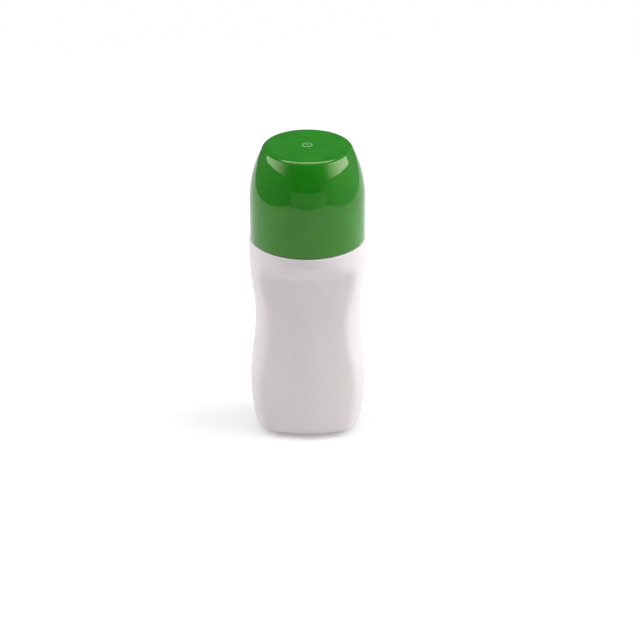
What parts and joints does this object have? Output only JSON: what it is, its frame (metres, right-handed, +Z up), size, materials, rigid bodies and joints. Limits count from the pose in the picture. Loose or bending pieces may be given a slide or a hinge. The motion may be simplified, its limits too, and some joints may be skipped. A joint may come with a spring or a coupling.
{
  "type": "roll-on bottle",
  "caption": "Waisted upright bottle with gently bowed label panels, a large rolling ball held in a threaded housing, and a screw cap that turns and lifts off.",
  "frame": {"origin": "middle of the base, on the surface that the bottle stands on", "axes": "+Z up along the bottle's axis, -Y out of the front panel, +X to the right of the front panel"},
  "size_m": [0.04, 0.04, 0.1062],
  "materials": {
    "bottle": "satin white polyethylene",
    "housing": "satin white polyethylene",
    "ball": "smooth off-white polypropylene",
    "cap": "glossy green polypropylene",
    "liner": "soft white foamed polyethylene"
  },
  "bodies": {
    "bottle": {"bottle_body": "bottle", "ball_housing": "housing"},
    "ball": {"roller_ball": "ball"},
    "liner": {"cap_liner": "liner"},
    "cap": {"cap": "cap"}
  },
  "joints": [
    {"name": "ball_roll", "type": "hinge", "parent": "bottle", "child": "ball", "pos_m": [0, 0, 0.08796], "axis": [1, 0, 0], "continuous": true},
    {"name": "cap_lift", "type": "slide", "parent": "bottle", "child": "liner", "axis": [0, 0, 1], "range_m": [0, 0.045]},
    {"name": "cap_turn", "type": "hinge", "parent": "liner", "child": "cap", "pos_m": [0, 0, 0.0895], "axis": [0, 0, 1], "range_deg": [0, 720]}
  ]
}
